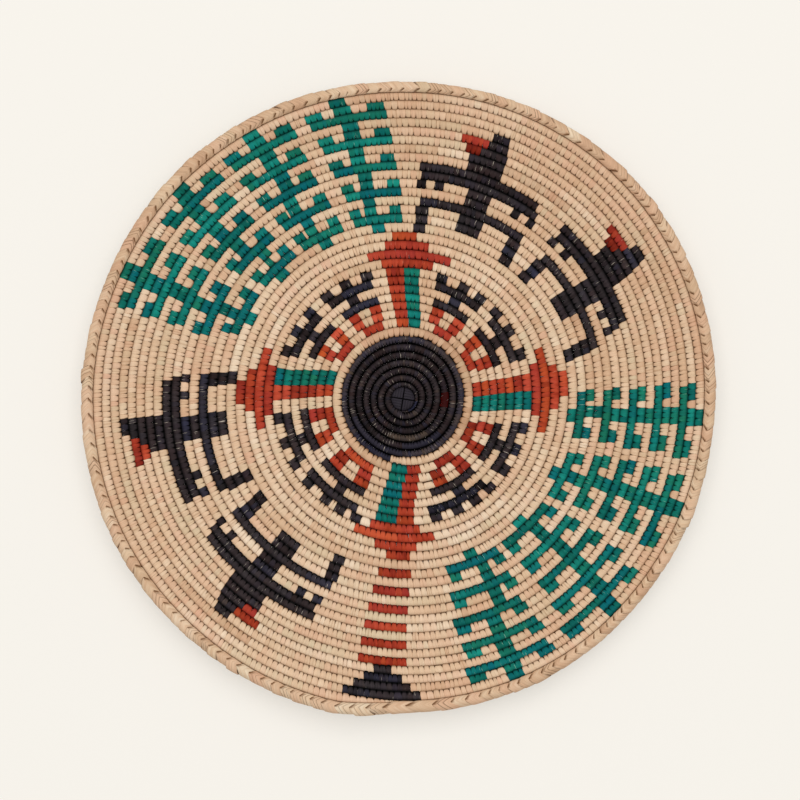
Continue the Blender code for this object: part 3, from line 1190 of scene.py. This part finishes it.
# the rim: broad splints plaited over a bundle
braid = {
    "width": 0.0063,
    "overlap": 0.0002,  # of the outermost row
    "thickness": 0.0074,
    "period": 0.0069,
    "uneven": 0.26,
    "neighbours": (0.6, 0.4),  # a repeat's width is its own and that of the one before it, in these shares
    "leastWidth": 0.75,
    "unevenLift": 0.045,
    "unevenReach": 0.10,
    "slant": 0.10,  # how much the splints' lean varies
    "gape": (0.25, 1.0),  # how open the crease of a splint is
    "seed": 23,
    "bunch": 4,  # repeats that share one tone
    "tone": (0.55, 0.10),
    "toneSpread": 0.09,
    "blush": (0.15, 0.16),
    "ash": (-0.08, 0.15),
    # cuts across a splint: where, in periods along the rim, how far out, and how dark their line is painted,
    # as shadow along the overlapping edges
    "edges": (0.0, 0.08, 0.30, 0.36, 0.42, 0.60, 0.66, 0.72, 0.92, 1.2),
    "rise": (0.965, 1.045, 1.045, 1.035, 1.035, 1.025, 1.01, 1.01, 0.965, 0.90),
    "shade": (1.0, 0.25, 0.0, 0.0, 0.0, 0.0, 0.0, 0.0, 0.0, 0.8),
    "splits": (3, 6),  # the cuts a splint can be split at
    "skin": 0.14,  # thickness of a splint against the rim's half thickness
    "tuck": 0.25,
    "sink": {0: 1.0, 1: 0.25},  # the cuts that sink in the tuck
    "hole": {0: 1.0, 1: 0.85, 2: 0.4},  # and those painted dark with shade there
    "bulge": -0.6,  # how the outer side follows a splint's uneven reach
    "bulgeFrom": (0.3, -0.2),  # so far across and up, and past that
    "splitShare": 0.45,
    "splitDepth": (0.3, 0.9),
    "seamStretch": 0.6,  # the splints are longer where the rim steps in at the seam
    "seamReach": 0.022,
    "runOn": 0.024,  # turns by which the path goes on at both ends
    "noiseStart": 900,
    "noiseStep": 1.7,
    "girth": 0.014,
    "sharpAngle": math.radians(60),
}

# the way a splint takes over the rim: run along it in periods, across and up as shares of width and
# thickness, how deep it is tucked, how dark the painted shade of its crease is
splintWay = (
    (0.64, -0.47, -0.06, 0.0, 1.0),
    (0.63, -0.525, 0.12, 0.0, 0.95),
    (0.55, -0.50, 0.27, 0.0, 0.65),
    (0.42, -0.40, 0.39, 0.1, 0.1),
    (0.22, -0.22, 0.475, 0.9, 0.0),
    (0.05, -0.02, 0.50, 1.0, 0.0),
    (0.12, 0.13, 0.485, 0.2, 0.0),
    (0.30, 0.34, 0.39, 0.0, 0.0),
    (0.47, 0.475, 0.20, 0.0, 0.0),
    (0.56, 0.50, -0.06, 0.0, 0.0),
    (0.68, 0.41, -0.32, 0.0, 0.0),
    (0.90, 0.12, -0.485, 0.0, 0.0),
    (1.15, -0.24, -0.45, 0.0, 0.2),
    (1.30, -0.47, -0.28, 0.0, 0.8),
)


def rimPath(runOn):
    turns = stations(coil["rows"] - 1 - runOn, coil["rows"] + runOn)
    inside = np.where(turns < coil["rows"] - 1, turns + 1, np.where(turns > coil["rows"], turns - 1, turns))
    inner = coilOutside(inside) - braid["overlap"]
    return pathAlong(turns, inner, inner + braid["width"], braid["thickness"])


def braidTemplate():
    # one repeat: a splint that rises from under the last one, folds in a V and goes down both sides
    bm = bmesh.new()
    rows = []
    loops = []
    last = len(braid["edges"]) - 1
    acrossFrom, upFrom = braid["bulgeFrom"]
    for station, (run, across, up, tuck, dark) in enumerate(splintWay):
        bulge = braid["bulge"] if across > acrossFrom and up > upFrom else 0.0
        loop = []
        for top in (1, 0):
            for cut in range(last + 1) if top else (last, 0):
                ply = braid["edges"][cut]
                sink = braid["tuck"] * tuck * braid["sink"].get(cut, 0.0)
                depth = braid["rise"][cut] - sink - (0 if top else braid["skin"])
                # painted shade: along the splint's edges and where it tucks under the next one
                edge = braid["shade"][cut] if top else 1.0
                hole = max(tuck * braid["hole"].get(cut, 0.0), dark) if top else 1.0
                split = 1.0 if cut in braid["splits"] and top else 0.0
                place = (run + ply, across * depth, up * depth)
                loop.append(bm.verts.new(place))
                rows.append((*place, edge, hole, bulge, split, ply, station / len(splintWay)))
        loops.append(loop)
    bridge(bm, loops)
    bm.faces.new(loops[0])
    bm.faces.new(loops[-1])
    return templateObject("braidShape", meshFrom(bm, "braidShape"), rows)


def makeBraid():
    plait = random.Random(braid["seed"])
    path = rimPath(braid["runOn"])
    start, end = np.interp((coil["rows"] - 1, coil["rows"]), path["turns"], path["length"]).tolist()
    count = round((end - start) / braid["period"])
    rough = [plait.gauss(1, braid["uneven"]) for _ in range(count)]
    own, before = braid["neighbours"]
    widths = []
    for number in range(count):
        toSeam = min(number, count - number) * braid["period"]
        stretch = 1 + braid["seamStretch"] * math.exp(-((toSeam / braid["seamReach"]) ** 2))
        width = rough[number] * own + rough[number - 1] * before
        widths.append(max(width, braid["leastWidth"]) * stretch)
    scale = (end - start) / sum(widths)
    units = []
    for number, width in enumerate(widths):
        if number % braid["bunch"] == 0:
            # the braid also gets the painted light on one side
            tone = plait.gauss(*braid["tone"]) + paleRowsAndLitSide(turnsAt(path, start))
        units.append({
            "start": start,
            "wide": width * scale,
            "dye": 0,
            "tone": within(tone + plait.gauss(0, braid["toneSpread"])),
            "blush": max(plait.gauss(*braid["blush"]), 0),
            "ash": max(plait.gauss(*braid["ash"]), 0),
            "lift": plait.gauss(0, braid["unevenLift"]),
            "reachMore": plait.gauss(0, braid["unevenReach"]),
            "slant": plait.gauss(0, braid["slant"]),
            "split": plait.uniform(*braid["splitDepth"]) if plait.random() < braid["splitShare"] else 0.0,
            "gape": plait.uniform(*braid["gape"]),
            "ident": braid["noiseStart"] + number * braid["noiseStep"],
        })
        start += width * scale
    template = braidTemplate()
    look = [materials["braid"]] * len(dyes)
    piece = layUnits("rim_braid_plaited", units, path, template, braid["girth"], look)
    tidyMesh(piece.data, braid["sharpAngle"])
    bpy.data.objects.remove(template)
    return piece, count


braidPiece, repeats = makeBraid()
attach(braidPiece, "root")
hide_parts("rim_braid")
print("braid: %d repeats, %d faces" % (repeats, len(braidPiece.data.polygons)))


# the bundle inside the rim, grass stems side by side with a slow twist
bundle = {
    "stems": 9,
    "points": 4,  # of the mesh round each stem
    "inset": 0.00095,
    "ridge": 0.10,
    "twists": 40,
    "stemWidth": 0.45,
    "tone": 0.25,
    "pit": 0.55,  # painted shade, as it lies in shade inside the braid
}


def makeBundle():
    path = rimPath(0.0)
    sides = bundle["stems"] * bundle["points"]
    bm = bmesh.new()
    coords = []
    loops = []
    for i, length in enumerate(path["length"][:-1]):
        centre, across, up = (Vector(path[name][i]) for name in ("centre", "across", "up"))
        acrossHalf = across * (0.5 - bundle["inset"] / across.length)
        upHalf = up * (0.5 - bundle["inset"] / up.length)
        twist = math.tau * bundle["twists"] * length / path["length"][-1]
        loop = []
        for side in range(sides):
            angle = math.tau * side / sides + twist
            wave = math.cos(angle * bundle["stems"] - twist * bundle["stems"])
            ridge = 1 - bundle["ridge"] * (0.5 - 0.5 * wave)
            point = centre + acrossHalf * math.cos(angle) * ridge + upHalf * math.sin(angle) * ridge
            loop.append(bm.verts.new(point))
            coords.append((side * bundle["stemWidth"], length * 1000, 0.0))
        loops.append(loop)
    bridge(bm, loops + loops[:1])
    mesh = meshFrom(bm, "rim_bundle")
    mesh.shade_smooth()
    addVectors(mesh, "splint", coords)
    addConstants(mesh, tone=bundle["tone"], blush=0.0, ash=0.0, seam=0.0, pit=bundle["pit"])
    mesh.materials.append(materials["braid"])
    return placed("rim_bundle", mesh)


bundlePiece = makeBundle()
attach(bundlePiece, "root")
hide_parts("rim_core")
print("rim bundle: %d faces" % len(bundlePiece.data.polygons))


# the camera straight above, as the photo was taken
view = {
    "pixel": 0.000598,  # metres in the plate's plane for one pixel
    "frame": 800,
    "middle": (399.7, 398.0),  # where the plate's middle is in the frame
    "focal": 190.0,
    "sensor": 36.0,
    "plane": 0.020,  # height at which the pixel is measured
}


def makeCamera():
    camera = bpy.data.cameras.new("camera")
    camera.lens = view["focal"]
    camera.sensor_width = view["sensor"]
    distance = view["pixel"] * view["frame"] * view["focal"] / view["sensor"]
    camera.clip_end = distance * 4
    half = view["frame"] / 2
    eye = placed("camera", camera)
    eye.location = (
        (half - view["middle"][0]) * view["pixel"],
        (view["middle"][1] - half) * view["pixel"],
        view["plane"] + distance,
    )
    bpy.context.scene.camera = eye


# a pale floor and soft light that comes mostly from the top of the picture
studio = {
    "floorSize": 6.0,
    "floorGap": 0.0003,
    "floorColour": "#FAF6EE",
    "floorRoughness": 0.95,
    "floorGlow": 0.55,  # share of the floor's paleness that is its own, as the camera and gloss see it
    "worldStrength": 0.42,
    "keyPower": 115.0,
    "keySize": 3.6,
    "keyPlace": (0.0, 1.0, 4.0),
}


def makeFloor():
    mesh = bpy.data.meshes.new("floor")
    half = studio["floorSize"] / 2
    corners = [(x * half, y * half, -studio["floorGap"]) for x, y in ((-1, -1), (1, -1), (1, 1), (-1, 1))]
    mesh.from_pydata(corners, [], [(0, 1, 2, 3)])
    material, tree, shader = newMaterial("floor", 0.0)
    shader.inputs["Base Color"].default_value = shade(studio["floorColour"])
    shader.inputs["Roughness"].default_value = studio["floorRoughness"]
    rays = wire(tree, "ShaderNodeLightPath")
    seen = mathNode(tree, "ADD", rays.outputs["Is Camera Ray"], rays.outputs["Is Glossy Ray"], clamp=True)
    share = mathNode(tree, "MULTIPLY", seen, studio["floorGlow"])
    glow = wire(tree, "ShaderNodeEmission", {"Color": shade(studio["floorColour"]), "Strength": 1.0})
    mix = wire(tree, "ShaderNodeMixShader", {0: share, 1: shader.outputs[0], 2: glow.outputs[0]})
    tree.links.new(mix.outputs[0], tree.nodes["Material Output"].inputs["Surface"])
    mesh.materials.append(material)
    floor = placed("floor", mesh)


def makeLight():
    world = bpy.data.worlds.new("studio")
    world.use_nodes = True
    background = world.node_tree.nodes["Background"]
    background.inputs["Color"].default_value = (1, 1, 1, 1)
    background.inputs["Strength"].default_value = studio["worldStrength"]
    bpy.context.scene.world = world
    lamp = bpy.data.lights.new("key", "AREA")
    lamp.shape = "SQUARE"
    lamp.size = studio["keySize"]
    lamp.energy = studio["keyPower"]
    key = placed("key", lamp)
    key.location = studio["keyPlace"]
    key.rotation_euler = (-Vector(studio["keyPlace"])).to_track_quat("-Z", "Y").to_euler()


makeCamera()
makeFloor()
makeLight()
bpy.context.scene.view_settings.view_transform = "Standard"
